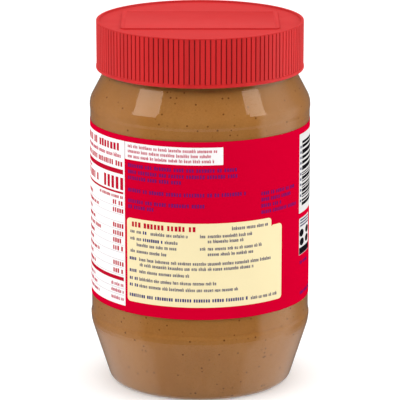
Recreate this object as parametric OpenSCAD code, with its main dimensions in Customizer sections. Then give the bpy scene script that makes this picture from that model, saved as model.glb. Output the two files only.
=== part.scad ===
// Clear plastic jar of peanut butter with a wrap-round label and a ribbed screw cap.
// Millimetres. The jar stands on z = 0 and its axis is the z axis. The label's front faces -y.

/* [Jar] */
// Height of the jar from the standing plane to its mouth
jar_h = 162.5; // [140:0.5:200]
// Diameter over the ridge below the label panel, where the jar is widest
body_d = 99; // [94:0.1:120]
// Depth of the label panel below that ridge
panel_recess = 0.4; // [0.4:0.05:1.2]
// Reach of the ridge above the label panel past the panel
high_ridge_reach = 0.2; // [0.2:0.05:1]
// Thickness of the blown side wall
wall = 0.7; // [0.5:0.1:1.5]
// Thickness of the base
base_wall = 1.2; // [0.8:0.1:2.5]
// Height of each ridge's straight stretch
ridge_h = 3.1; // [2:0.1:6]
// Height over which a ridge steps down to the label panel
step_h = 1.4; // [1:0.1:3]
// Radius of the bends at those steps
step_round = 1.5; // [1:0.1:2.5]

/* [Foot] */
// Diameter at which the tapered foot would meet the standing plane
foot_d = 81.2; // [70:0.2:88]
// Height at which the taper reaches the lower ridge
taper_h = 28; // [22:0.2:40]
// Radius of the heel between the base and the taper
heel_round = 3.7; // [2:0.1:9]
// Radius of the bend between the taper and the lower ridge
taper_round = 17; // [8:1:20]
// Inner diameter of the ring that the jar stands on
stand_d = 66; // [50:1:68]
// Height of the hollow under the base
push_up = 3.5; // [2:0.1:3.8]
// Width of the slope round that hollow
push_slope = 8; // [6:0.5:12]
// Radius of the bends at the foot and the head of that slope
push_round = 2.5; // [1:0.5:4]

/* [Neck] */
// Diameter of the neck below its thread
neck_d = 86; // [70:0.2:90]
// Thickness of the neck's wall
neck_wall = 1.8; // [1.5:0.1:2.5]
// Angle of the shoulder from upright
shoulder_a = 27.6; // [22:0.2:40]
// Radius of the bend between the upper ridge and the shoulder
shoulder_round = 9; // [2:0.5:12]
// Radius of the bend between the shoulder and the neck
neck_round = 1; // [0.5:0.1:1.5]
// Bare neck that shows between the shoulder and the cap
neck_show = 1.9; // [1:0.1:4]

/* [Thread] */
// Rise of the thread in one turn
thread_pitch = 5.1; // [4:0.1:6]
// Turns of the thread
thread_turns = 1.25; // [0.8:0.05:1.5]
// Height of the thread above the wall that carries it
thread_h = 1; // [0.6:0.1:1.2]
// Width of the thread at its root
thread_w = 2; // [1.6:0.1:2.4]

/* [Cap] */
// Height of the cap
cap_h = 21.7; // [18:0.1:28]
// Thickness of the skirt behind the grooves
skirt_wall = 1.2; // [1:0.1:2.5]
// Gap between the cap's inside and the neck's thread
cap_clear = 0.4; // [0.3:0.05:0.6]
// Gap between the jar's mouth and the cap that closes it
seat_gap = 0.1; // [0.05:0.05:0.3]
// Thickness of the cap's top
top_wall = 1.6; // [1.2:0.1:2.5]
// Width of the rim round the top
rim_w = 1.3; // [1:0.1:4]
// Depth of the top's panel below the rim
rim_h = 0.8; // [0.8:0.1:2.5]
// Radius of the cap's outer top edge
rim_round = 0.3; // [0.2:0.1:0.8]
// Height of the smooth edge that closes the ribs at the top
rim_edge_h = 0.8; // [0.8:0.1:2]
// Reach of that edge past the ribs
edge_reach = 0.05; // [0.05:0.05:0.2]
// Distance from one grip rib to the next
rib_pitch = 2.3; // [1.6:0.02:4]
// Depth of the grooves between the ribs
rib_depth = 0.5; // [0.3:0.05:0.8]
// Height of the plain bead at the foot of the skirt
bead_h = 1.6; // [1:0.1:3]
// Reach of that bead past the ribs
bead_reach = 0.2; // [0.1:0.05:0.6]
// Radius of the bead's outer edges
bead_round = 0.4; // [0.2:0.1:0.6]

/* [Plaque] */
// Front-to-back size of the plain raised plaque on the top
plaque_d = 41; // [20:1:50]
// Height of the plaque
plaque_h = 0.5; // [0.3:0.1:0.9]
// Corner radius of the plaque
plaque_round = 2.5; // [1:0.5:6]
// Gap between the plaque's corners and the rim
plaque_gap = 5.2; // [1:0.1:8]

/* [Label] */
// Thickness of the label
label_t = 0.15; // [0.1:0.05:0.3]
// Layer of glue between the label and the jar
glue_t = 0.03; // [0.02:0.01:0.05]
// Bare panel below the label
label_low = 8; // [2:0.1:12]
// Bare panel above the label
label_high = 4.4; // [2:0.1:10]

/* [Peanut butter] */
// Air between the peanut butter and the jar's mouth
headspace = 3.5; // [1:0.5:3.5]
// Gap between the peanut butter and the jar's wall
fill_gap = 0.05; // [0.02:0.01:0.1]

/* [Hidden] */
$fn = 192;

// Degrees of bend for each straight stretch of a rounded corner
arc_step = 7.5;
// How far pieces of one moulding run into each other
join = 0.4;
// Smallest radius that a rounded corner keeps inside the wall
least_round = 0.2;
// Share of the shorter side beside a corner that its rounding may take
corner_share = 0.85;

low_ridge_r = body_d / 2;
panel_r = low_ridge_r - panel_recess;
high_ridge_r = panel_r + high_ridge_reach;
neck_r = neck_d / 2;

// Heights of the cap, the neck and the panel, worked out down from the mouth
cap_in_z = jar_h + seat_gap;
panel_top_z = cap_in_z + top_wall;
cap_top_z = panel_top_z + rim_h;
cap_low_z = cap_top_z - cap_h;
neck_z = cap_low_z - neck_show;
shoulder_z = neck_z - (high_ridge_r - neck_r) / tan(shoulder_a);
high_ridge_z = shoulder_z - ridge_h;
low_ridge_z = taper_h + ridge_h;

// Radii of the cap, worked out from the neck
cap_in_r = neck_r + thread_h + cap_clear;
rib_r = cap_in_r + skirt_wall + rib_depth;
groove_r = rib_r - rib_depth;
bead_r = rib_r + bead_reach;
edge_r = rib_r + edge_reach;
disc_r = rib_r - rim_w;
rib_count = round(2 * PI * rib_r / rib_pitch);

// Every corner of the jar's outer outline: radius, height, rounding, and the
// thickness of the wall that runs on from it
OUTLINE = [
    [0, push_up, 0, base_wall],
    [stand_d / 2 - push_slope, push_up, push_round, base_wall],
    [stand_d / 2, 0, push_round, base_wall],
    [foot_d / 2, 0, heel_round, wall],
    [low_ridge_r, taper_h, taper_round, wall],
    [low_ridge_r, low_ridge_z, step_round, wall],
    [panel_r, low_ridge_z + step_h, step_round, wall],
    [panel_r, high_ridge_z - step_h, step_round, wall],
    [high_ridge_r, high_ridge_z, step_round, wall],
    [high_ridge_r, shoulder_z, shoulder_round, wall],
    [neck_r, neck_z, neck_round, neck_wall],
    [neck_r, jar_h, 0, neck_wall]
];

// One rib from the middle of a groove: shares of the rib's pitch and of the groove's depth
RIB = [[0, 1], [0.12, 0.2], [0.25, 0], [0.75, 0], [0.88, 0.2]];

function unit(v) = v / norm(v);
function left(v) = [-v.y, v.x];
function turned(v, a) = [v.x * cos(a) - v.y * sin(a), v.x * sin(a) + v.y * cos(a)];
function bend(d0, d1) = atan2(d0.x * d1.y - d0.y * d1.x, d0 * d1);
function place(corner) = [corner.x, corner.y];
function heading(path, i) = unit(place(path[i + 1]) - place(path[i]));
function reversed(list) = [for (i = [len(list) - 1 : -1 : 0]) list[i]];

// Where two walls of thickness t0 and t1 meet inside a corner with normals n0 and n1
function inner_corner(n0, n1, t0, t1) =
    let (det = n0.x * n1.y - n0.y * n1.x)
    [(t0 * n1.y - t1 * n0.y) / det, (n0.x * t1 - n1.x * t0) / det];

// The corners of an outline moved inwards by each wall's thickness and a gap
function inset(path, gap) = [
    for (i = [0 : len(path) - 1])
        let (
            last = len(path) - 1,
            n0 = left(heading(path, max(i - 1, 0))),
            n1 = left(heading(path, min(i, last - 1))),
            t0 = path[max(i - 1, 0)][3] + gap,
            t1 = path[min(i, last - 1)][3] + gap,
            move = i == 0 ? n1 * t1 : i == last ? n0 * t0 : inner_corner(n0, n1, t0, t1),
            way = i == 0 || i == last ? 0 : sign(bend(-left(n0), -left(n1))),
            round_r = path[i][2] == 0 ? 0 : max(path[i][2] - way * t1, least_round)
        )
        [path[i].x + move.x, path[i].y + move.y, round_r]
];

// Length of the side of an outline that runs on from corner i
function side(path, i) = norm(place(path[i + 1]) - place(path[i]));

// One corner as points along its arc, whose radius its sides may limit
function corner_points(path, i) =
    let (
        d0 = heading(path, i - 1),
        d1 = heading(path, i),
        a = bend(d0, d1),
        room = corner_share * min(side(path, i - 1), side(path, i)),
        cut = min(path[i][2] * tan(abs(a) / 2), room),
        start = place(path[i]) - d0 * cut,
        spoke = -left(d0) * sign(a) * cut / tan(abs(a) / 2),
        steps = max(2, ceil(abs(a) / arc_step))
    )
    [for (k = [0 : steps]) start - spoke + turned(spoke, a * k / steps)];

// An outline with its corners rounded
function rounded(path) = [
    for (i = [0 : len(path) - 1])
        each path[i][2] == 0 ? [place(path[i])] : corner_points(path, i)
];

// The four faces of a swept four-sided thread, as triangles, and its two ends
function sweep_faces(rings) = concat(
    [for (i = [0 : rings - 2], k = [0 : 3]) [4 * i + k, 4 * i + (k + 1) % 4, 4 * (i + 1) + k]],
    [for (i = [0 : rings - 2], k = [0 : 3])
        [4 * i + (k + 1) % 4, 4 * (i + 1) + (k + 1) % 4, 4 * (i + 1) + k]],
    [[0, 3, 2], [0, 2, 1]],
    [for (tri = [[0, 1, 2], [0, 2, 3]]) [for (k = tri) 4 * (rings - 1) + k]]
);

// A screw thread on a wall of radius root_r that rises from z0; reach is the crest's
// distance from the wall, and less than nothing where the thread points inwards
module thread(root_r, reach, z0) {
    steps_per_turn = 40;
    fade_steps = 5;
    crest_share = 0.5;
    steps = round(thread_turns * steps_per_turn);
    bury = -sign(reach) * join;
    points = [
        for (i = [0 : steps])
            let (
                a = 360 * i / steps_per_turn,
                z = z0 + thread_pitch * i / steps_per_turn,
                fade = min(1, (i + 0.5) / fade_steps, (steps - i + 0.5) / fade_steps),
                low = [[bury, -thread_w / 2], [reach * fade, -thread_w * crest_share / 2]],
                section = concat(low, [for (p = reversed(low)) [p.x, -p.y]])
            )
            each [for (p = section) [(root_r + p.x) * cos(a), (root_r + p.x) * sin(a), z + p.y]]
    ];
    faces = sweep_faces(steps + 1);
    polyhedron(points, reach > 0 ? faces : [for (f = faces) reversed(f)]);
}

module jar() {
    color([0.86, 0.88, 0.88, 0.35]) {
        rotate_extrude() polygon(concat(rounded(OUTLINE), reversed(rounded(inset(OUTLINE, 0)))));
        thread(neck_r, thread_h, jar_h - thread_w - thread_pitch * thread_turns);
    }
}

module peanut_butter() {
    level = jar_h - headspace;
    inside = inset(OUTLINE, fill_gap);
    last = len(inside) - 1;
    below = [for (i = [0 : last - 1]) inside[i]];
    top_r = inside[last].x;
    color([0.66, 0.47, 0.29])
        rotate_extrude() polygon(concat(rounded(concat(below, [[top_r, level, 0]])), [[0, level]]));
}

module label() {
    low_z = low_ridge_z + step_h + label_low;
    high_z = high_ridge_z - step_h - label_high;
    in_r = panel_r + glue_t;
    color([0.83, 0.04, 0.18])
        translate([0, 0, low_z])
            rotate_extrude()
                translate([in_r, 0]) square([label_t, high_z - low_z]);
}

// Outline of the ribbed skirt: a flat crest and a narrow groove for every rib
function rib_outline() = [
    for (i = [0 : rib_count - 1], p = RIB)
        let (
            a = 360 * (i + p.x) / rib_count,
            r = rib_r - rib_depth * p.y
        )
        [r * cos(a), r * sin(a)]
];

module plaque() {
    corner_r = disc_r - plaque_gap - plaque_round;
    half_d = plaque_d / 2 - plaque_round;
    half_w = sqrt(pow(corner_r, 2) - pow(half_d, 2));
    translate([0, 0, panel_top_z - join])
        linear_extrude(join + plaque_h) {
            for (x = [-half_w, half_w], y = [-half_d, half_d])
                translate([x, y]) circle(plaque_round);
            square([2 * half_w, 2 * (half_d + plaque_round)], center = true);
            square([2 * (half_w + plaque_round), 2 * half_d], center = true);
        }
}

// The ribbed skirt and the solid top above it
module ribs() {
    low_z = cap_low_z + bead_h / 2;
    translate([0, 0, low_z])
        linear_extrude(cap_top_z - rim_edge_h / 2 - low_z) polygon(rib_outline());
}

// Plain bead at the foot of the skirt, rounded on its outside
module bead() {
    translate([0, 0, cap_low_z])
        rotate_extrude() polygon(rounded([
            [0, 0, 0],
            [bead_r, 0, bead_round],
            [bead_r, bead_h, bead_round],
            [groove_r - join / 2, bead_h + rib_depth, 0],
            [0, bead_h + rib_depth, 0]
        ]));
}

// Smooth edge that closes the ribs at the top
module rim_edge() {
    translate([0, 0, cap_top_z - rim_edge_h])
        rotate_extrude() polygon(rounded([
            [0, 0, 0],
            [groove_r - join / 2, 0, 0],
            [edge_r, rim_edge_h / 2, 0],
            [edge_r, rim_edge_h, rim_round],
            [0, rim_edge_h, 0]
        ]));
}

module cap() {
    color([0.80, 0.13, 0.15]) {
        difference() {
            union() {
                ribs();
                bead();
                rim_edge();
            }
            translate([0, 0, panel_top_z]) cylinder(h = rim_h + join, r = disc_r);
            translate([0, 0, cap_low_z - join]) cylinder(h = cap_in_z - cap_low_z + join, r = cap_in_r);
        }
        plaque();
        thread(cap_in_r, -thread_h, jar_h - thread_w - thread_pitch * (thread_turns + 0.5));
    }
}

jar();
peanut_butter();
label();
cap();
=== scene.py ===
"""Looks of a clear plastic jar of peanut butter with a wrap-round label and a ribbed screw cap.

Metres. The jar stands on z = 0 and its axis is the z axis. The label is laid out in millimetres:
"across" runs round the jar to the right from the middle of its front, and "up" is the height
above z = 0.
"""

import logging
import math
import random
from collections.abc import Mapping, Sequence
from dataclasses import dataclass, field
from enum import Enum

import bmesh
import bpy
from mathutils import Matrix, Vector

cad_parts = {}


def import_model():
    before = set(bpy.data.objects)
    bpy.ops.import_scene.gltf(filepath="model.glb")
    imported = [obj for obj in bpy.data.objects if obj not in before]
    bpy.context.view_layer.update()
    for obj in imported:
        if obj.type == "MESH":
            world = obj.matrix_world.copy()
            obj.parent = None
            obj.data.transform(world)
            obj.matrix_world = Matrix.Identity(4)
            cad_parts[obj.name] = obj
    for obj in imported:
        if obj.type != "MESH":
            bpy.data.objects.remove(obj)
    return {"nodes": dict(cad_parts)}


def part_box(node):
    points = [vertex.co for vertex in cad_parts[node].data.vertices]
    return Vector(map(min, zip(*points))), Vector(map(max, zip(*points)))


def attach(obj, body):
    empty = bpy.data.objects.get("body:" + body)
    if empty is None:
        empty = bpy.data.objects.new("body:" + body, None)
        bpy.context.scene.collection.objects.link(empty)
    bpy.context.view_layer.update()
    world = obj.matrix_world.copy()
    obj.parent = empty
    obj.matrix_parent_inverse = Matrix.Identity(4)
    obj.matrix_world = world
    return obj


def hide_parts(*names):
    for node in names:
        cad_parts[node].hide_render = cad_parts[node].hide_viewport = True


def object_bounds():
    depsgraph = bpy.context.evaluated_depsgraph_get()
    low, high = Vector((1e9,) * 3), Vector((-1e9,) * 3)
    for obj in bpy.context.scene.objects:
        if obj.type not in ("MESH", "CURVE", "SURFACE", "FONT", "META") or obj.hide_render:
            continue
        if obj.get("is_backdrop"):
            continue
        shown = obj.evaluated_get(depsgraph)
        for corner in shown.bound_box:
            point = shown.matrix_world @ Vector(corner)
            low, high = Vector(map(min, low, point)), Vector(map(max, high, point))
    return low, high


LOG = logging.getLogger("peanut_butter_jar")
MM = 0.001

Colour = tuple[float, float, float]
Point = tuple[float, float, float]
Spot = tuple[float, float]
Column = tuple[float, float, float]


def srgb(red: int, green: int, blue: int) -> Colour:
    """Turns a colour as a screen shows it into linear light.

    Args:
        red: Red from 0 to 255.
        green: Green from 0 to 255.
        blue: Blue from 0 to 255.

    Returns:
        The three linear values.
    """
    shares = (channel / 255 for channel in (red, green, blue))
    return tuple(s / 12.92 if s <= 0.04045 else ((s + 0.055) / 1.055) ** 2.4 for s in shares)


def spaced(start: float, stop: float, step: float) -> list[float]:
    """Returns evenly spaced values from start to stop, no further apart than step."""
    count = max(1, math.ceil((stop - start) / step))
    return [start + (stop - start) * i / count for i in range(count + 1)]


# ------------------ shader helpers


class Sig:
    """A value or colour inside a material, with arithmetic that adds the nodes it needs."""

    def __init__(self, net: "Net", socket: bpy.types.NodeSocket) -> None:
        """Keeps the socket and the material that it belongs to."""
        self.net = net
        self.socket = socket

    def math(self, operation: str, first: "Sig | float", second: "Sig | float") -> "Sig":
        """Returns a Math node's result."""
        return self.net.out("ShaderNodeMath", {"operation": operation}, {0: first, 1: second})

    def __add__(self, other: "Sig | float") -> "Sig":
        """Returns self + other."""
        return self.math("ADD", self, other)

    def __radd__(self, other: float) -> "Sig":
        """Returns other + self."""
        return self.math("ADD", other, self)

    def __sub__(self, other: "Sig | float") -> "Sig":
        """Returns self - other."""
        return self.math("SUBTRACT", self, other)

    def __rsub__(self, other: float) -> "Sig":
        """Returns other - self."""
        return self.math("SUBTRACT", other, self)

    def __mul__(self, other: "Sig | float") -> "Sig":
        """Returns self * other."""
        return self.math("MULTIPLY", self, other)

    def __rmul__(self, other: float) -> "Sig":
        """Returns other * self."""
        return self.math("MULTIPLY", other, self)

    def __truediv__(self, other: "Sig | float") -> "Sig":
        """Returns self / other."""
        return self.math("DIVIDE", self, other)

    def __pow__(self, other: float) -> "Sig":
        """Returns self to the power of other."""
        return self.math("POWER", self, other)

    def __abs__(self) -> "Sig":
        """Returns the size of self without its sign."""
        return self.math("ABSOLUTE", self, 0.0)

    def over(self, limit: float, soft: float) -> "Sig":
        """Compares self with a limit.

        Args:
            limit: The middle of the step.
            soft: The width of the step.

        Returns:
            0 below the limit and 1 above it, with a smooth step between.
        """
        ranges = {"From Min": limit - soft / 2, "From Max": limit + soft / 2}
        settings = {"interpolation_type": "SMOOTHSTEP"}
        return self.net.out("ShaderNodeMapRange", settings, {"Value": self, **ranges})

    def tint(self, low: "Colour | Sig", high: "Colour | Sig") -> "Sig":
        """Returns low where self is 0 and high where it is 1, mixed between."""
        settings = {"data_type": "RGBA", "clamp_factor": True}
        return self.net.out("ShaderNodeMix", settings, {0: self, 6: low, 7: high}, 2)


class Net:
    """The nodes of one material or world."""

    def __init__(self, owner: bpy.types.Material | bpy.types.World) -> None:
        """Empties the owner's nodes, ready for new ones.

        Args:
            owner: The material or world.
        """
        owner.use_nodes = True
        self.owner = owner
        self.tree = owner.node_tree
        self.tree.nodes.clear()

    def add(
        self, kind: str, settings: Mapping[str, object], inputs: Mapping[int | str, object]
    ) -> bpy.types.Node:
        """Adds a node.

        Args:
            kind: The node's type.
            settings: Its properties, set first.
            inputs: Values or links for its sockets, by number or by name.

        Returns:
            The new node.
        """
        node = self.tree.nodes.new(kind)
        for name, setting in settings.items():
            setattr(node, name, setting)
        for key, given in inputs.items():
            socket = node.inputs[key]
            if isinstance(given, Sig):
                self.tree.links.new(given.socket, socket)
            elif isinstance(given, tuple) and socket.type == "RGBA":
                socket.default_value = (*given, 1.0)
            else:
                socket.default_value = given
        return node

    def out(
        self,
        kind: str,
        settings: Mapping[str, object],
        inputs: Mapping[int | str, object],
        output: int | str = 0,
    ) -> Sig:
        """Adds a node and returns one of its outputs."""
        return Sig(self, self.add(kind, settings, inputs).outputs[output])

    def place(self) -> Sig:
        """Returns the surface point in the jar's own frame, in metres."""
        return self.out("ShaderNodeTexCoord", {}, {}, "Object")

    def stretched(self, scale: Point) -> Sig:
        """Returns the surface point times a scale along each axis."""
        inputs = {0: self.place(), 1: scale}
        return self.out("ShaderNodeVectorMath", {"operation": "MULTIPLY"}, inputs)

    def split(self, vector: Sig) -> tuple[Sig, Sig, Sig]:
        """Returns the three parts of a vector."""
        node = self.add("ShaderNodeSeparateXYZ", {}, {0: vector})
        return tuple(Sig(self, socket) for socket in node.outputs)

    def noise(self, size: float, detail: float = 2.0, where: Sig | None = None) -> Sig:
        """Returns even noise from 0 to 1 whose patches are about size metres across."""
        inputs = {"Vector": where or self.place(), "Scale": 1 / size, "Detail": detail}
        return self.out("ShaderNodeTexNoise", {}, inputs, "Fac")

    def bump(self, height: Sig, depth: float, under: Sig | None = None) -> Sig:
        """Makes relief.

        Args:
            height: Its shape, from 0 to 1.
            depth: Its depth in metres.
            under: The normal that it lies on top of, if any.

        Returns:
            The normal.
        """
        inputs = {"Height": height, "Distance": depth, "Strength": 1.0}
        if under is not None:
            inputs["Normal"] = under
        return self.out("ShaderNodeBump", {}, inputs)

    def principled(self, inputs: Mapping[str, object]) -> Sig:
        """Adds the main surface shader with the given sockets."""
        return self.out("ShaderNodeBsdfPrincipled", {}, inputs)

    def finish(self, shader: Sig) -> bpy.types.Material | bpy.types.World:
        """Sends a shader to the output.

        Args:
            shader: The shader.

        Returns:
            The finished material or world.
        """
        kind = "World" if isinstance(self.owner, bpy.types.World) else "Material"
        output = self.tree.nodes.new("ShaderNodeOutput" + kind)
        self.tree.links.new(shader.socket, output.inputs["Surface"])
        return self.owner


def surface(name: str) -> Net:
    """Starts a new material and returns its nodes."""
    return Net(bpy.data.materials.new(name))


# ------------------ finishes


@dataclass(frozen=True)
class ClearPlastic:
    """Clear blown plastic: faintly wavy, with the two seams where its mould met."""

    ior: float = 1.57
    tint: Colour = (0.985, 0.985, 0.975)
    shade: Colour = (0.95, 0.95, 0.94)
    sheen: Colour = (1.0, 0.84, 0.68)
    roughness: float = 0.045
    scuff_roughness: float = 0.05
    scuff: float = 0.004
    wave: float = 0.018
    wave_stretch: Point = (1.0, 1.0, 0.45)
    wave_depth: float = 0.00005
    seam_from: float = 0.03
    seam_width: float = 0.0003
    seam_depth: float = 0.00006

    def material(self) -> bpy.types.Material:
        """Mixes the clear plastic.

        Returns:
            The material.
        """
        net = surface("clear_plastic")
        east, north, _ = net.split(net.place())
        waves = net.noise(self.wave, 1.0, net.stretched(self.wave_stretch))
        on_side = abs(east).over(self.seam_from, 0.002)
        seam = (1 - abs(north).over(self.seam_width, self.seam_width)) * on_side
        normal = net.bump(seam, self.seam_depth, net.bump(waves, self.wave_depth))
        scuffs = net.noise(self.scuff, 4.0).over(0.62, 0.2)
        inputs = {
            "Base Color": self.tint,
            "Roughness": self.roughness + self.scuff_roughness * scuffs,
            "IOR": self.ior,
            "Specular Tint": self.sheen,
            "Transmission Weight": 1.0,
            "Normal": normal,
        }
        shell = net.principled(inputs)
        clear = net.out("ShaderNodeBsdfTransparent", {}, {"Color": self.shade})
        lamp_ray = net.out("ShaderNodeLightPath", {}, {}, "Is Shadow Ray")
        mixed = net.out("ShaderNodeMixShader", {}, {0: lamp_ray, 1: shell, 2: clear})
        return net.finish(mixed)


@dataclass(frozen=True)
class PeanutPaste:
    """Smooth ground peanut paste pressed against the wall, with specks of brown skin."""

    pale: Colour = srgb(196, 140, 77)
    deep: Colour = srgb(186, 128, 64)
    skin: Colour = srgb(80, 34, 14)
    speck: float = 0.0022
    speck_strength: float = 0.75
    cloud: float = 0.022
    cloud_stretch: Point = (1.0, 1.0, 0.7)
    cloud_share: float = 0.65
    streak: float = 0.006
    streak_stretch: Point = (1.0, 1.0, 0.35)
    streak_depth: float = 0.00005
    grain: float = 0.0009
    grain_dark: Colour = (0.93, 0.92, 0.90)
    grain_light: Colour = (1.06, 1.06, 1.06)
    roughness: float = 0.5
    ior: float = 1.45

    def material(self) -> bpy.types.Material:
        """Mixes the paste.

        Returns:
            The material.
        """
        net = surface("peanut_butter")
        clouds = net.noise(self.cloud, 3.0, net.stretched(self.cloud_stretch)).over(0.5, 0.5)
        streaks = net.noise(self.streak, 2.0, net.stretched(self.streak_stretch)).over(0.5, 0.6)
        mottle = self.cloud_share * clouds + (1 - self.cloud_share) * streaks
        paste = mottle.tint(self.deep, self.pale)
        grain = net.noise(self.grain, 2.0)
        fine = grain.over(0.5, 0.9).tint(self.grain_dark, self.grain_light)
        settings = {"data_type": "RGBA", "blend_type": "MULTIPLY"}
        grained = net.out("ShaderNodeMix", settings, {0: 1.0, 6: paste, 7: fine}, 2)
        places = {"Vector": net.place(), "Scale": 1 / self.speck}
        cells = net.add("ShaderNodeTexVoronoi", {}, places)
        near = 1 - Sig(net, cells.outputs["Distance"]).over(0.19, 0.12)
        _, _, pick = net.split(Sig(net, cells.outputs["Color"]))
        specks = near * pick.over(0.78, 0.20) * net.noise(0.03, 1.0).over(0.32, 0.2)
        colour = (self.speck_strength * specks).tint(grained, self.skin)
        inputs = {
            "Base Color": colour,
            "Roughness": self.roughness + 0.1 * grain,
            "IOR": self.ior,
            "Specular IOR Level": 0.0,
            "Normal": net.bump(streaks, self.streak_depth),
        }
        return net.finish(net.principled(inputs))


@dataclass(frozen=True)
class CapPlastic:
    """Satin moulded plastic, a little clouded where it flowed and rubbed on its high edges.

    The grooves between the ribs are painted darker as shade. "top" is the height of the cap's
    upper edge.
    """

    top: float
    base: Colour = srgb(178, 3, 5)
    worn: Colour = srgb(203, 16, 18)
    sheen: Colour = (1.0, 0.08, 0.08)
    sheen_weight: float = 0.62
    sheen_roughness: float = 0.55
    # groove: the darker colour painted into the grooves between the ribs as shade
    groove: Colour = srgb(104, 0, 1)
    groove_middle: float = 0.04582
    groove_span: float = 0.0004
    skirt_inner: float = 0.0452
    rim_margin: float = 0.0006
    edge_blend: float = 0.0002
    flow: float = 0.02
    flow_share: float = 0.2
    streak: float = 0.005
    streak_stretch: Point = (1.0, 1.0, 0.04)
    streak_share: float = 0.45
    rub_share: float = 0.3
    smear: float = 0.012
    roughness: float = 0.40
    ior: float = 1.49
    specular: float = 0.32
    grain: float = 0.0006
    grain_depth: float = 0.000012

    def material(self) -> bpy.types.Material:
        """Mixes the plastic.

        Returns:
            The material.
        """
        net = surface("cap_plastic")
        east, north, up = net.split(net.place())
        reach = (east * east + north * north) ** 0.5
        under_rim = 1 - up.over(self.top - self.rim_margin, self.edge_blend)
        beside = reach.over(self.skirt_inner, self.edge_blend) * under_rim
        flow = net.noise(self.flow, 3.0).over(0.5, 0.5)
        streaks = net.noise(self.streak, 1.0, net.stretched(self.streak_stretch)).over(0.5, 0.3)
        rubbed = net.out("ShaderNodeNewGeometry", {}, {}, "Pointiness").over(0.56, 0.08)
        wear = self.flow_share * flow + self.streak_share * (streaks * beside)
        lit = (wear + self.rub_share * rubbed).tint(self.base, self.worn)
        # painted shade: the grooves between the ribs take the darker groove colour
        painted_groove_shade = beside * (1 - reach.over(self.groove_middle, self.groove_span))
        colour = painted_groove_shade.tint(lit, self.groove)
        grain = net.noise(self.grain, 2.0)
        smears = net.noise(self.smear, 4.0).over(0.55, 0.3)
        inputs = {
            "Base Color": colour,
            "Roughness": self.roughness + 0.06 * grain + 0.05 * smears,
            "IOR": self.ior,
            "Specular IOR Level": self.specular,
            "Sheen Weight": self.sheen_weight,
            "Sheen Roughness": self.sheen_roughness,
            "Sheen Tint": self.sheen,
            "Normal": net.bump(grain, self.grain_depth),
        }
        return net.finish(net.principled(inputs))


class Ink(Enum):
    """The printed colours of the label."""

    RED = srgb(194, 0, 41)
    WHITE = srgb(232, 231, 230)
    CREAM = srgb(230, 216, 172)
    CRIMSON = srgb(176, 14, 42)
    ROSE = srgb(186, 74, 94)
    PURPLE = srgb(112, 22, 96)
    GREY = srgb(86, 84, 106)
    SILVER = srgb(190, 176, 184)
    # the white of the code panels, greyed a little as painted shade
    SHADED_WHITE = srgb(208, 206, 205)
    NAVY = srgb(30, 36, 104)
    BLACK = srgb(20, 18, 22)
    TAN = srgb(214, 158, 92)
    UMBER = srgb(150, 92, 42)


@dataclass(frozen=True)
class PrintedPaper:
    """Coated label paper under one printed colour."""

    ink: Ink
    roughness: float = 0.55
    fibre: float = 0.0011
    fibre_depth: float = 0.000008
    patch: float = 0.03
    dim: float = 0.955

    def material(self) -> bpy.types.Material:
        """Mixes the printed paper.

        Returns:
            The material.
        """
        net = surface("label_" + self.ink.name.lower())
        fibre = net.noise(self.fibre, 3.0)
        shade = net.noise(self.patch, 2.0).over(0.5, 0.6)
        darker = tuple(self.dim * channel for channel in self.ink.value)
        inputs = {
            "Base Color": (0.6 * shade + 0.4 * fibre).tint(darker, self.ink.value),
            "Roughness": self.roughness + 0.1 * fibre,
            "Specular IOR Level": 0.0,
            "Normal": net.bump(fibre, self.fibre_depth),
        }
        return net.finish(net.principled(inputs))


@dataclass(frozen=True)
class StudioPaper:
    """Plain pale paper under the jar, with a faint glow of its own that lightens the shadow."""

    colour: Colour = (0.93, 0.93, 0.93)
    dim: float = 0.99
    grain: float = 0.002
    roughness: float = 0.9
    glow: float = 0.16

    def material(self) -> bpy.types.Material:
        """Mixes the paper.

        Returns:
            The material.
        """
        net = surface("studio_paper")
        fine = net.noise(self.grain, 2.0)
        dim = tuple(self.dim * channel for channel in self.colour)
        inputs = {
            "Base Color": fine.tint(dim, self.colour),
            "Roughness": self.roughness,
            "Specular IOR Level": 0.1,
            "Emission Color": (1.0, 1.0, 1.0),
            "Emission Strength": self.glow,
        }
        return net.finish(net.principled(inputs))


# ------------------ meshes


@dataclass
class Mould:
    """Gathers the points and faces of one piece."""

    name: str
    points: list[Point] = field(default_factory=list)
    faces: list[tuple[int, ...]] = field(default_factory=list)

    def loft(self, loops: Sequence[Sequence[Point]], ring: bool = False) -> None:
        """Skins a row of loops that have as many points each.

        Args:
            loops: The loops, in order.
            ring: True joins the last loop to the first. Otherwise both ends are filled.
        """
        first = len(self.points)
        size = len(loops[0])
        rows = len(loops)
        for loop in loops:
            self.points.extend(loop)
        for i in range(rows if ring else rows - 1):
            low = first + i * size
            high = first + (i + 1) % rows * size
            for k in range(size):
                m = (k + 1) % size
                self.faces.append((low + k, low + m, high + m, high + k))
        if not ring:
            last = first + (rows - 1) * size
            self.faces.append(tuple(range(first, first + size))[::-1])
            self.faces.append(tuple(range(last, last + size)))

    def piece(self, material: bpy.types.Material, sharp: float = 40.0) -> bpy.types.Object:
        """Makes the piece.

        Args:
            material: Its finish.
            sharp: Edges that bend by more than this many degrees stay sharp.

        Returns:
            The new object, in the scene.
        """
        mesh = bpy.data.meshes.new(self.name)
        mesh.from_pydata(self.points, [], self.faces)
        work = bmesh.new()
        work.from_mesh(mesh)
        bmesh.ops.recalc_face_normals(work, faces=work.faces)
        work.to_mesh(mesh)
        work.free()
        mesh.shade_smooth()
        mesh.set_sharp_from_angle(angle=math.radians(sharp))
        mesh.materials.append(material)
        made = bpy.data.objects.new(self.name, mesh)
        bpy.context.scene.collection.objects.link(made)
        return made


def around(radius: float, angle: float, up: float) -> Point:
    """Returns the point at an angle round the axis, counted to the right from the front."""
    return (radius * math.sin(angle), -radius * math.cos(angle), up)


def ring_of(radius: float, up: float, count: int) -> list[Point]:
    """Returns one level ring of points round the axis."""
    return [around(radius, math.tau * k / count, up) for k in range(count)]


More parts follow.
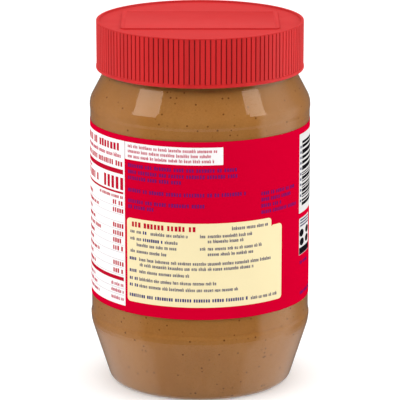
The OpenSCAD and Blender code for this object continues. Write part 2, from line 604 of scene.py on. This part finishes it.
def arc(centre: Spot, radius: float, start: float, stop: float, steps: int) -> list[Spot]:
    """Returns points along an arc, with its angles in degrees."""
    angles = (math.radians(start + (stop - start) * k / steps) for k in range(steps + 1))
    return [(centre[0] + radius * math.cos(a), centre[1] + radius * math.sin(a)) for a in angles]


def outline_of(node: bpy.types.Object) -> list[Spot]:
    """Follows the outline of a round node, whose mesh has rings round the axis.

    Args:
        node: The node.

    Returns:
        Radius and height of each ring, from the bottom centre to the top.
    """
    mesh = node.data
    keys = [(round(math.hypot(v.co.x, v.co.y), 5), round(v.co.z, 5)) for v in mesh.vertices]
    joined: dict[Spot, set[Spot]] = {key: set() for key in keys}
    for edge in mesh.edges:
        one, two = (keys[i] for i in edge.vertices)
        if one != two:
            joined[one].add(two)
            joined[two].add(one)
    start = min(joined)
    end = max(joined, key=lambda key: key[1])
    path = [start]
    seen = {start}
    while path[-1] != end:
        onward = [key for key in joined[path[-1]] if key not in seen]
        path.append(min(onward, key=lambda key: math.dist(key, path[-1])))
        seen.add(path[-1])
    return path


# ------------------ the jar and what it holds


@dataclass
class Jar:
    """The clear jar, whose walls are already right."""

    node: bpy.types.Object
    gate_radius: float = 0.0022
    gate_height: float = 0.0006
    gate_bury: float = 0.0002
    columns: int = 32

    def dress(self, clear: bpy.types.Material) -> None:
        """Gives the jar its clear plastic.

        Args:
            clear: The finish.
        """
        self.node.data.materials.clear()
        self.node.data.materials.append(clear)
        LOG.info("jar: dressed")

    def build_gate(self, clear: bpy.types.Material) -> bpy.types.Object:
        """Makes the small nub that the moulding leaves in the middle of the base.

        Args:
            clear: The jar's own finish.

        Returns:
            The nub.
        """
        reach = {v.index: math.hypot(v.co.x, v.co.y) for v in self.node.data.vertices}
        inmost = min(reach.values()) + 1 * MM
        base = min(v.co.z for v in self.node.data.vertices if reach[v.index] < inmost)
        mould = Mould("jar_gate")
        rings = [ring_of(self.gate_radius, base + self.gate_bury, self.columns)]
        for x, y in arc((0.0, 0.0), 1.0, 90, 10, 5):
            radius, up = self.gate_radius * y, base - self.gate_height * x
            rings.append(ring_of(radius, up, self.columns))
        mould.loft(rings)
        LOG.info("jar: gate nub made")
        return mould.piece(clear)


@dataclass
class Filling:
    """The peanut butter, pressed a little into the wall so that no air shows."""

    node: bpy.types.Object
    press: float = 0.0003
    columns: int = 256

    def build(self, paste: bpy.types.Material) -> bpy.types.Object:
        """Makes the filling out to just inside the wall.

        Args:
            paste: Its finish.

        Returns:
            The filling.
        """
        path = outline_of(self.node)
        path = [(0.0, path[0][1]), *path]
        rings = []
        for before, (radius, up), after in zip(path, path[1:], path[2:]):
            run = Vector((after[0] - before[0], after[1] - before[1])).normalized()
            place = (radius + run.y * self.press, up - run.x * self.press)
            rings.append(ring_of(*place, self.columns))
        rings.append(ring_of(path[-1][0] + self.press, path[-1][1], self.columns))
        mould = Mould("peanut_butter_fill")
        mould.loft(rings)
        LOG.info("filling: %d rings", len(rings))
        return mould.piece(paste)


# ------------------ the cap


@dataclass
class Cap:
    """The screw cap: ribbed skirt, plain bead, raised rim and a sunken top with a plaque."""

    low: Vector
    high: Vector
    rib_pitch: float = 2.3 * MM
    rib_depth: float = 0.5 * MM
    groove_reach: float = 0.13
    bead_height: float = 1.6 * MM
    bead_reach: float = 0.2 * MM
    bead_width: float = 0.9 * MM
    bead_round: float = 0.4 * MM
    edge_height: float = 0.35 * MM
    edge_round: float = 0.3 * MM
    inner_round: float = 0.25 * MM
    rim_width: float = 1.3 * MM
    rim_depth: float = 0.8 * MM
    top_thickness: float = 1.6 * MM
    top_columns: int = 240
    skirt: float = 1.2 * MM
    bury: float = 0.4 * MM
    fillet: float = 0.5 * MM
    plaque_depth: float = 41 * MM
    plaque_height: float = 0.5 * MM
    plaque_round: float = 2.5 * MM
    plaque_gap: float = 5.2 * MM

    def __post_init__(self) -> None:
        """Works the radii out from the widest place, which is the bead."""
        self.bead_radius = self.high.x
        self.rib_radius = self.bead_radius - self.bead_reach
        self.disc_radius = self.rib_radius - self.rim_width
        self.inner_radius = self.rib_radius - self.rib_depth - self.skirt
        self.disc_up = self.high.z - self.rim_depth
        self.rib_count = round(math.tau * self.rib_radius / self.rib_pitch)

    def groove(self, share: float) -> float:
        """Returns how deep the surface lies at a share of a rib's pitch, from 0 to 1."""
        reach = min(share, 1 - share) / self.groove_reach
        return 0.0 if reach >= 1 else 1 - reach**3

    def section(self, deep: float) -> list[Spot]:
        """Returns the skirt's section.

        Args:
            deep: How deep the groove is at this place round the cap, from 0 to 1.

        Returns:
            Radius and height of each point, out and up from the skirt's foot.
        """
        low = self.low.z
        top = self.high.z
        bead = self.bead_radius
        rib = self.rib_radius
        cut = rib - self.rib_depth * deep
        soft = self.bead_round
        bead_top = low + self.bead_height
        edge_low = top - self.edge_height
        points = [(bead - self.bead_width, low)]
        points += arc((bead - soft, low + soft), soft, -90, 0, 4)
        points += arc((bead - soft, bead_top - soft), soft, 0, 70, 4)
        points += [(cut + 0.25 * (bead - cut), bead_top + 0.12 * MM)]
        points += [(cut + 0.06 * (rib - cut), bead_top + 0.45 * MM)]
        points += [(cut, z) for z in spaced(bead_top + 0.9 * MM, edge_low - 0.3 * MM, 3 * MM)]
        points += [(cut + 0.12 * (rib - cut), edge_low - 0.1 * MM)]
        points += [(rib - 0.02 * MM, edge_low + 0.1 * MM)]
        soft = self.edge_round
        points += arc((rib - soft, top - soft), soft, 0, 90, 5)
        soft = self.inner_round
        points += arc((self.disc_radius + soft, top - soft), soft, 90, 180, 4)
        buried = self.disc_up - self.bury
        points += [(self.disc_radius, buried), (self.inner_radius, buried)]
        points += [(self.inner_radius, low + 0.5 * MM), (self.inner_radius + 0.5 * MM, low)]
        return points

    def build_skirt(self, plastic: bpy.types.Material) -> bpy.types.Object:
        """Makes the ribbed skirt with its bead and rim.

        Args:
            plastic: Its finish.

        Returns:
            The skirt.
        """
        half = (0.05, 0.09, 0.115, self.groove_reach, 0.2)
        shares = (0.0, *half, 0.5, *(1 - share for share in reversed(half)))
        loops = []
        for rib in range(self.rib_count):
            for share in shares:
                angle = math.tau * (rib + share) / self.rib_count
                section = self.section(self.groove(share))
                loops.append([around(radius, angle, up) for radius, up in section])
        mould = Mould("cap_skirt")
        mould.loft(loops, ring=True)
        LOG.info("cap: %d ribs", self.rib_count)
        return mould.piece(plastic, 50)

    def build_top(self, plastic: bpy.types.Material) -> bpy.types.Object:
        """Makes the sunken top, with a fillet where it meets the rim.

        Args:
            plastic: Its finish.

        Returns:
            The top.
        """
        mould = Mould("cap_top")
        reach = self.disc_radius + 0.3 * MM
        under = self.disc_up - self.top_thickness
        centre = (self.disc_radius - self.fillet, self.disc_up + self.fillet)
        path = [(reach - 2 * MM, under), (reach, under), (reach, centre[1])]
        path += arc(centre, self.fillet, 0, -90, 5)
        path += [(radius * MM, self.disc_up) for radius in (40, 36, 30, 22, 14, 6)]
        mould.loft([ring_of(radius, up, self.top_columns) for radius, up in path])
        return mould.piece(plastic)

    def plaque_loop(self, inset: float, up: float) -> list[Point]:
        """Makes one level outline of the plaque.

        Args:
            inset: How far it is moved in.
            up: Its height.

        Returns:
            Its points.
        """
        corner = self.disc_radius - self.plaque_gap - self.plaque_round
        half_y = self.plaque_depth / 2 - self.plaque_round
        half_x = math.sqrt(corner**2 - half_y**2)
        rounding = max(self.plaque_round - inset, 0.1 * MM)
        loop = []
        for turn, (x, y) in enumerate(((1, 1), (-1, 1), (-1, -1), (1, -1))):
            centre = (x * half_x, y * half_y)
            loop += [(*p, up) for p in arc(centre, rounding, 90 * turn, 90 * turn + 90, 8)]
        return loop

    def build_plaque(self, plastic: bpy.types.Material) -> bpy.types.Object:
        """Makes the plain raised plaque, with a soft top edge and a shallow sunken field.

        Args:
            plastic: Its finish.

        Returns:
            The plaque.
        """
        top = self.disc_up + self.plaque_height
        soft = 0.25 * MM
        levels = [(0.0, self.disc_up - self.bury), (0.0, top - soft)]
        levels += [(soft - x, y) for x, y in arc((0.0, top - soft), soft, 18, 90, 4)]
        levels += [(1.5 * MM, top), (1.75 * MM, top - 0.04 * MM), (2.0 * MM, top - 0.15 * MM)]
        mould = Mould("cap_plaque")
        mould.loft([self.plaque_loop(inset, up) for inset, up in levels])
        return mould.piece(plastic, 35)


# ------------------ the label


@dataclass(frozen=True)
class TextLine:
    """One line of stand-in text: rows of plain marks, with no letters."""

    left: float
    right: float
    up: float
    height: float
    ink: Ink
    bold: bool = False


@dataclass
class Printer:
    """Lays thin curved patches of ink on the label, one mould for each ink."""

    radius: float
    moulds: dict[Ink, Mould] = field(default_factory=dict)
    chance: random.Random = field(default_factory=lambda: random.Random(7))
    layer: float = 0.035 * MM
    depth: float = 1.7
    step: float = 1.6
    drop: float = 0.42
    plain_pace: float = 0.47
    bold_pace: float = 0.56
    end_room: float = 0.6
    word_gap: float = 0.7
    stroke: float = 0.14
    small_tall: float = 0.64

    def patch(self, ink: Ink, columns: Sequence[Column], coat: int = 0) -> None:
        """Lays one closed patch.

        Args:
            ink: Its colour.
            columns: Place across, lowest and highest point of each upright edge.
            coat: 0 on the paper, 1 on a field of colour, 2 on a mark.
        """
        mould = self.moulds.setdefault(ink, Mould("label_" + ink.name.lower()))
        outer = self.radius + self.layer * (coat + 1)
        inner = outer - self.depth * self.layer
        loops = []
        for across, low, high in columns:
            angle = across * MM / self.radius
            corners = ((outer, low), (outer, high), (inner, high), (inner, low))
            loops.append([around(radius, angle, up * MM) for radius, up in corners])
        mould.loft(loops)

    def bar(
        self, ink: Ink, left: float, right: float, low: float, high: float, coat: int = 1
    ) -> None:
        """Lays a plain rectangle."""
        self.patch(ink, [(across, low, high) for across in spaced(left, right, self.step)], coat)

    def panel(
        self, ink: Ink, left: float, right: float, low: float, high: float, corner: float
    ) -> None:
        """Lays a field of colour with round corners.

        Args:
            ink: Its colour.
            left: Its left edge, as the others are in millimetres.
            right: Its right edge.
            low: Its lower edge.
            high: Its upper edge.
            corner: The radius of its corners.
        """
        quarter = self.quarter(corner)
        columns = [(left + x, low + inset, high - inset) for x, inset in quarter]
        columns += self.between(left + corner, right - corner, low, high)
        columns += [(right - x, low + inset, high - inset) for x, inset in reversed(quarter)]
        self.patch(ink, columns)

    def between(self, left: float, right: float, low: float, high: float) -> list[Column]:
        """Returns the upright edges strictly between two places."""
        return [(across, low, high) for across in spaced(left, right, self.step)[1:-1]]

    @staticmethod
    def quarter(corner: float) -> list[Spot]:
        """Returns a round corner as pairs of a place from the edge and an inset there."""
        angles = [math.radians(15 * k) for k in range(7)]
        return [(corner * (1 - math.cos(a)), corner * (1 - math.sin(a))) for a in angles]

    def oval(
        self, ink: Ink, across: float, up: float, wide: float, tall: float, coat: int = 1
    ) -> None:
        """Lays an oval.

        Args:
            ink: Its colour.
            across: Its middle's place across.
            up: Its middle's height.
            wide: Half its width.
            tall: Half its height.
            coat: What it lies on, as for a patch.
        """
        columns = []
        steps = 16
        for k in range(1, steps):
            angle = math.pi * k / steps
            rise = tall * math.sin(angle)
            columns.append((across - wide * math.cos(angle), up - rise, up + rise))
        self.patch(ink, columns, coat)

    def text(self, line: TextLine) -> None:
        """Lays one line of stand-in text, in words of random length.

        Args:
            line: The line.
        """
        base = line.up - self.drop * line.height
        advance = line.height * (self.bold_pace if line.bold else self.plain_pace)
        end = line.right - self.end_room * advance
        across = line.left
        while across < end:
            for _ in range(self.chance.randint(2, 8)):
                if across > end:
                    break
                self.letter(line, across, base)
                across += advance
            across += self.word_gap * advance

    def letter(self, line: TextLine, across: float, base: float) -> None:
        """Lays one plain mark, or a pair of thin ones and a bridge, in place of a letter.

        Args:
            line: The line that it belongs to.
            across: Its left edge.
            base: Its foot.
        """
        wide = line.height * self.chance.choice((0.32, 0.36, 0.40))
        if line.bold:
            tall = line.height * self.chance.choice((0.74, 0.76, 0.8))
            self.bar(line.ink, across, across + wide, base, base + tall)
            return
        small = self.small_tall
        tall = line.height * self.chance.choice((small, small, 0.66, 0.9))
        stroke = self.stroke * line.height
        self.bar(line.ink, across, across + stroke, base, base + tall)
        self.bar(line.ink, across + wide - stroke, across + wide, base, base + small * line.height)
        cross = base + self.chance.choice((0.0, 0.26, 0.52)) * line.height
        self.bar(line.ink, across + stroke, across + wide - stroke, cross, cross + stroke)


@dataclass
class Label:
    """The wrap-round paper label and everything printed on it."""

    low: Vector
    high: Vector
    thickness: float = 0.15 * MM
    seam: float = -98.0
    lap: float = 6.0
    lap_gap: float = 0.02 * MM
    ramp: float = 3.0
    strip: float = 1.2

    def __post_init__(self) -> None:
        """Takes the label's radius and height from its box."""
        self.radius = self.high.x
        self.around = math.tau * self.radius / MM
        self.printer = Printer(self.radius)

    def build_sheet(self, paper: bpy.types.Material) -> bpy.types.Object:
        """Makes the sheet, wound once round with its end lapped over its start.

        Args:
            paper: Its finish.

        Returns:
            The sheet.
        """
        mould = Mould("label_sheet")
        loops = []
        low, high = self.low.z, self.high.z
        for across in spaced(self.seam, self.seam + self.around + self.lap, self.strip):
            turned = across - (self.seam + self.around - self.ramp)
            rise = min(max(turned / self.ramp, 0.0), 1.0)
            lift = (self.thickness + self.lap_gap) * rise * rise * (3 - 2 * rise)
            outer = self.radius + lift
            inner = outer - self.thickness
            angle = across * MM / self.radius
            corners = ((outer, low), (outer, high), (inner, high), (inner, low))
            loops.append([around(radius, angle, up) for radius, up in corners])
        mould.loft(loops)
        LOG.info("label: sheet of %d strips", len(loops))
        return mould.piece(paper)

    def rows(self, ink: Ink, bold: bool, *rows: tuple[float, float, float, float]) -> None:
        """Lays lines of stand-in text, each given by its left, right, up and height."""
        for row in rows:
            self.printer.text(TextLine(*row, ink, bold))

    def print_facts(self) -> None:
        """Lays the white table at the left of the front."""
        printer = self.printer
        left, right = -88.0, -36.9
        printer.panel(Ink.WHITE, left - 1.0, -36.0, 43.2, 118.0, 0.3)
        self.rows(Ink.CRIMSON, True, (left, right, 114.9, 4.2))
        self.rows(Ink.ROSE, False, (left, right - 1, 111.0, 2.1))
        self.rows(Ink.CRIMSON, True, (left, right, 107.4, 2.9))
        printer.bar(Ink.CRIMSON, left, right, 102.8, 104.9)
        self.rows(Ink.ROSE, False, (left, -66, 101.3, 1.7))
        self.rows(Ink.CRIMSON, True, (left, -56, 98.2, 4.0))
        for middle in (-49.8, -46.8, -43.8, -40.8, -37.8):
            printer.bar(Ink.CRIMSON, middle - 0.9, middle + 0.9, 95.7, 101.2)
        printer.bar(Ink.CRIMSON, left, right, 93.9, 94.8)
        self.rows(Ink.CRIMSON, True, (-55, right, 92.3, 1.6))
        pitch = 3.45
        thin = 0.08
        for row in range(10):
            up = 89.6 - pitch * row
            start = left + (0.0, 2.0, 4.0)[row % 3]
            length = (24, 30, 19, 27, 33, 22)[row % 6]
            self.rows(Ink.CRIMSON, row % 4 == 0, (start, start + length, up, 2.0))
            if row not in (2, 7):
                self.rows(Ink.CRIMSON, True, (-43.8, right, up, 2.6))
            rule = up - 0.5 * pitch
            printer.bar(Ink.SILVER, left, right, rule - thin, rule + thin)
        printer.bar(Ink.CRIMSON, left, right, 54.3, 56.0)
        for row, up in enumerate((52.3, 49.3, 46.0)):
            self.rows(Ink.ROSE, False, (left, left + 26 + 3 * row, up, 1.9))
            self.rows(Ink.ROSE, False, (-45.5, right, up, 1.9))
            if row < 2:
                printer.bar(Ink.SILVER, left, right, up - 1.65, up - 1.5)

    def print_note(self) -> None:
        """Lays the small white note beside the table."""
        printer = self.printer
        left, low, high = -34.0, 110.2, 118.0
        printer.bar(Ink.SILVER, -35.95, -35.7, low, high, 0)
        printer.panel(Ink.WHITE, -35.6, 10.1, low, high, 0.25)
        size = 1.75
        rows = ((left, 8.6, 116.4, size), (left, 4.6, 114.15, size), (left, 6.6, 111.9, size))
        self.rows(Ink.ROSE, False, *rows)

    def print_small_print(self) -> None:
        """Lays the purple lines on the red field."""
        ends = ((16.6, 107.8), (16.6, 105.0), (-7.6, 102.3))
        ends += ((21.6, 96.8), (2.7, 91.9), (-20.2, 89.3))
        self.rows(Ink.PURPLE, True, *((-33.9, right, up, 2.1) for right, up in ends))
        ends = ((49.6, 95.6), (47.0, 92.9), (40.2, 90.1), (51.6, 87.3))
        self.rows(Ink.PURPLE, True, *((28.3, right, up, 2.0) for right, up in ends))
        self.rows(Ink.PURPLE, True, (55.4, 66.0, 58.6, 1.8), (56.0, 72.0, 44.4, 1.8))

    def print_card(self) -> None:
        """Lays the cream card, whose top steps down where its raised tab ends."""
        printer = self.printer
        left, right, low = -34.7, 40.2, 46.1
        tab_right, tab_up, card_up = 33.8, 84.1, 80.6
        corner, notch = 1.7, 0.9
        quarter = printer.quarter(corner)
        columns = [(left + x, low + inset, tab_up - inset) for x, inset in quarter]
        columns += printer.between(left + corner, tab_right - corner, low, tab_up)
        columns += [(tab_right - x, low, tab_up - inset) for x, inset in reversed(quarter)]
        columns += [(tab_right + 0.05, low, card_up - 0.6), (tab_right + notch, low, card_up)]
        columns += printer.between(tab_right + notch, right - corner, low, card_up)
        columns += [(right - x, low + inset, card_up - inset) for x, inset in reversed(quarter)]
        printer.patch(Ink.CREAM, columns)

    def print_recipe(self) -> None:
        """Lays the cream card and its lines of text."""
        self.print_card()
        grey, navy = (Ink.GREY, False), (Ink.NAVY, True)
        size = 1.8
        self.rows(Ink.CRIMSON, True, (-31.9, -1.5, 81.6, 3.0))
        self.rows(*grey, (14.1, 31.8, 81.5, 1.9))
        self.rows(*grey, *((-32.8, -30.6, up, size) for up in (78.3, 75.1, 69.5)))
        self.rows(*grey, (-29.4, -26.6, 78.3, size))
        self.rows(*navy, (-26.1, -22.8, 78.3, size))
        self.rows(*grey, (-22.3, -4.8, 78.3, size), (-29.4, -26.6, 75.1, size))
        self.rows(*navy, (-26.1, -16.4, 75.1, size))
        self.rows(*grey, (-15.6, -10.0, 75.1, size), (-29.4, -10.4, 72.5, size))
        self.rows(*grey, (-29.4, -13.9, 69.5, size))
        self.rows(*grey, (0.0, 2.3, 78.4, size), (0.0, 2.3, 72.8, size))
        ends = ((24.8, 78.4), (19.8, 76.1), (28.9, 72.8), (24.2, 70.3))
        self.rows(*grey, *((3.4, right, up, size) for right, up in ends))
        for right, up in ((33.7, 66.0), (-4.8, 60.5), (7.7, 57.0), (16.7, 54.0)):
            self.rows(*navy, (-33.3, -28.9, up, size))
            self.rows(*grey, (-28.1, right, up, size))
        self.rows(*grey, (-27.8, 24.6, 63.6, size))
        self.rows(*navy, (-33.4, 21.6, 49.3, 1.9))
        self.rows(*grey, (23.1, 38.2, 49.1, size))

    def print_codes(self) -> None:
        """Lays the white panel with its ladder of random bars, and the plain panel below it, both
        greyed as painted shade.
        """
        printer = self.printer
        # both code panels use a white greyed as painted shade
        printer.panel(Ink.SHADED_WHITE, 54.0, 88.0, 81.4, 117.5, 0.3)
        up, top = 84.6, 114.0
        while up < top - 0.4:
            thick = printer.chance.choice((0.5, 0.9, 1.4, 1.9))
            printer.bar(Ink.BLACK, 57.0, 84.5, up, min(up + thick, top))
            up += thick + printer.chance.choice((0.5, 0.5, 0.9))
        for up in spaced(87.0, 111.5, 2.45):
            printer.bar(Ink.GREY, 54.9, 56.3, up - 0.55, up + 0.55)
        printer.panel(Ink.SHADED_WHITE, 54.4, 68.0, 62.2, 79.0, 0.3)
        printer.bar(Ink.BLACK, 54.6, 67.8, 62.4, 65.4)
        for across, up in ((57.6, 67.9), (64.4, 68.2), (57.2, 72.0), (64.8, 72.3)):
            printer.oval(Ink.BLACK, across, up, 2.5, 1.7)
        for up in (75.4, 76.7, 78.0):
            printer.bar(Ink.GREY, 55.4, 67.0, up - 0.35, up + 0.35)

    def print_face(self) -> None:
        """Lays the plain picture on the hidden side: a cream field with two rows of peanuts."""
        printer = self.printer
        middle = self.around / 2
        left, right = middle - 46, middle + 46
        printer.panel(Ink.CREAM, left, right, 56.0, 108.0, 7.0)
        printer.bar(Ink.NAVY, left, right, 49.0, 53.0, 0)
        printer.bar(Ink.NAVY, left, right, 111.0, 113.0, 0)
        for side, up in ((-29, 93), (0, 93), (29, 93), (-15, 72), (15, 72)):
            self.print_peanut(middle + side, up, 0.8)

    def print_peanut(self, across: float, up: float, size: float) -> None:
        """Lays one peanut in its shell, on its side, with a waist and rows of dimples.

        Args:
            across: Its middle's place across.
            up: Its middle's height.
            size: 1 for a peanut 30 mm long.
        """
        printer = self.printer
        columns = []
        half_long, half_wide = 15.0 * size, 7.0 * size
        waist_depth, waist_reach, steps = 0.26, 0.3, 16
        for k in range(1 - steps, steps):
            share = k / steps
            waist = 1 - waist_depth * math.exp(-((share / waist_reach) ** 2))
            reach = half_wide * math.sqrt(1 - share * share) * waist
            columns.append((across + half_long * share, up - reach, up + reach))
        printer.patch(Ink.TAN, columns, 1)
        wide, tall = 0.9 * size, 0.5 * size
        for column in range(-4, 5):
            for row in (-1, 0, 1):
                side = across + column * 2.9 * size
                lift = 0.4 * size * (column % 2)
                printer.oval(Ink.UMBER, side, up + row * 3.0 * size + lift, wide, tall, 2)

    def print_all(self) -> None:
        """Lays every printed part."""
        self.print_facts()
        self.print_note()
        self.print_small_print()
        self.print_recipe()
        self.print_codes()
        self.print_face()

    def build_print(self) -> list[bpy.types.Object]:
        """Makes one piece for each ink, after everything is laid.

        Returns:
            The pieces.
        """
        pieces = []
        for ink, mould in self.printer.moulds.items():
            pieces.append(mould.piece(PrintedPaper(ink).material()))
            LOG.info("label: %s, %d faces", mould.name, len(mould.faces))
        return pieces


# ------------------ the studio


@dataclass(frozen=True)
class Softbox:
    """One lamp behind a white sheet, aimed at the jar.

    Its turn to the right of the front and its rise are in degrees, and its lengths in metres. A
    gloss lamp shows only in gloss, and any other lamp only in the soft light.
    """

    name: str
    turn: float
    rise: float
    distance: float
    wide: float
    tall: float
    radiance: float
    gloss: bool = False

    def build(self, aim: Vector) -> None:
        """Hangs the lamp at its angles from the point that it aims at.

        Args:
            aim: The point.
        """
        turn = math.radians(self.turn)
        rise = math.radians(self.rise)
        way = Vector(around(math.cos(rise), turn, math.sin(rise)))
        lamp = bpy.data.lights.new(self.name, "AREA")
        lamp.shape = "RECTANGLE"
        lamp.size = self.wide
        lamp.size_y = self.tall
        lamp.energy = self.radiance * math.pi * self.wide * self.tall
        holder = bpy.data.objects.new(self.name, lamp)
        holder.location = aim + way * self.distance
        holder.rotation_euler = (-way).to_track_quat("-Z", "Y").to_euler()
        holder.visible_diffuse = not self.gloss
        holder.visible_glossy = self.gloss
        bpy.context.scene.collection.objects.link(holder)


SOFTBOXES = (
    Softbox("left", -60, 33, 0.95, 0.62, 0.42, 2.7),
    Softbox("right", 68, 33, 0.95, 0.62, 0.42, 2.2),
    Softbox("above", 0, 84, 0.8, 0.5, 0.5, 1.1),
    Softbox("left_glint", -64, 35, 0.95, 0.42, 0.38, 2.8, True),
    Softbox("right_glint", 66, 35, 0.95, 0.30, 0.38, 2.8, True),
)


@dataclass(frozen=True)
class Studio:
    """Pale paper floor, white walls with a dark gap in front, lamps and camera.

    The walls' strengths are those that show in gloss. The glow is the soft light's strength.
    """

    camera_back: float = 1.1935
    camera_up: float = 0.3950
    camera_pitch: float = 14.70
    lens: float = 246.15
    sensor: float = 36.0
    floor_size: float = 3.0
    white: float = 0.55
    dark: float = 0.05
    behind: float = 0.8
    bright_side: float = 0.9
    below: float = 0.8
    gap_height: float = 0.84
    glow: float = 1.26
    rightward: float = 0.10
    front_dim: float = 0.38

    def build_camera(self) -> None:
        """Sets the camera in front of the jar, looking a little down."""
        camera = bpy.data.cameras.new("camera")
        camera.lens = self.lens
        camera.sensor_width = self.sensor
        holder = bpy.data.objects.new("camera", camera)
        holder.location = (0.0, -self.camera_back, self.camera_up)
        holder.rotation_euler = (math.radians(90 - self.camera_pitch), 0.0, 0.0)
        bpy.context.scene.collection.objects.link(holder)
        bpy.context.scene.camera = holder

    def build_floor(self) -> None:
        """Lays the floor, which doesn't show in gloss."""
        reach = self.floor_size
        mesh = bpy.data.meshes.new("floor")
        turns = ((-1, -1), (1, -1), (1, 1), (-1, 1))
        mesh.from_pydata([(x * reach, y * reach, 0.0) for x, y in turns], [], [(0, 1, 2, 3)])
        mesh.materials.append(StudioPaper().material())
        floor = bpy.data.objects.new("floor", mesh)
        bpy.context.scene.collection.objects.link(floor)
        floor.visible_glossy = False
        floor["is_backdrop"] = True

    def build_world(self) -> None:
        """Makes the room: even soft light, and walls and floor that show only in gloss."""
        world = bpy.data.worlds.new("studio")
        bpy.context.scene.world = world
        net = Net(world)
        way = net.out("ShaderNodeTexCoord", {}, {}, "Generated")
        right, back, up = net.split(way)
        rearward = back / (1.0001 - up * up) ** 0.5
        front = (0.0 - rearward).over(0.42, 0.20)
        gap = front * (1 - up.over(self.gap_height, 0.16))
        open_wall = (1 - gap) * (1 - self.behind * rearward.over(0.45, 0.7))
        lit = self.white - self.dark + self.bright_side * right.over(0.85, 0.2)
        floor = self.below * (0.0 - up).over(0.45, 0.24)
        walls = open_wall * lit + self.dark + floor
        glow = self.glow * (1 - self.front_dim * front) * (1 + self.rightward * right)
        soft = net.out("ShaderNodeLightPath", {}, {}, "Is Diffuse Ray")
        strength = soft * glow + (1 - soft) * walls
        white = (1.0, 1.0, 1.0)
        net.finish(net.out("ShaderNodeBackground", {}, {"Color": white, "Strength": strength}))

    def build(self, aim: Vector) -> None:
        """Builds the whole studio.

        Args:
            aim: The middle of the jar.
        """
        self.build_floor()
        self.build_world()
        for softbox in SOFTBOXES:
            softbox.build(aim)
        bpy.context.scene.view_settings.view_transform = "Standard"
        LOG.info("studio: done")


def settle(piece: bpy.types.Object, slot: str, node: str | None = None) -> None:
    """Lets a piece ride on the jar's body.

    Args:
        piece: The piece.
        slot: The name of a material slot, which is only logged.
        node: The CAD node that it stands for, if any.
    """
    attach(piece, "root")
    if node is not None:
        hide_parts(node)
    LOG.info("piece %s in slot %s", piece.name, slot)


def main() -> None:
    """Builds the jar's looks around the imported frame."""
    logging.basicConfig(level=logging.INFO, format="%(name)s: %(message)s")
    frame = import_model()
    cad_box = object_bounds()
    studio = Studio()
    studio.build_camera()
    nodes = frame["nodes"]

    clear = ClearPlastic().material()
    jar = Jar(nodes["jar"])
    jar.dress(clear)
    settle(jar.build_gate(clear), "clear_plastic")
    filling = Filling(nodes["peanut_butter"])
    settle(filling.build(PeanutPaste().material()), "peanut_butter", "peanut_butter")

    plastic = CapPlastic(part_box("cap")[1].z).material()
    cap = Cap(*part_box("cap"))
    settle(cap.build_skirt(plastic), "cap_plastic", "cap")
    settle(cap.build_top(plastic), "cap_plastic", "cap")
    settle(cap.build_plaque(plastic), "cap_plastic", "cap")

    label = Label(*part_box("label"))
    settle(label.build_sheet(PrintedPaper(Ink.RED).material()), "label_paper", "label")
    label.print_all()
    for piece in label.build_print():
        settle(piece, "label_paper", "label")

    studio.build((cad_box[0] + cad_box[1]) / 2)


if __name__ == "__main__":
    main()
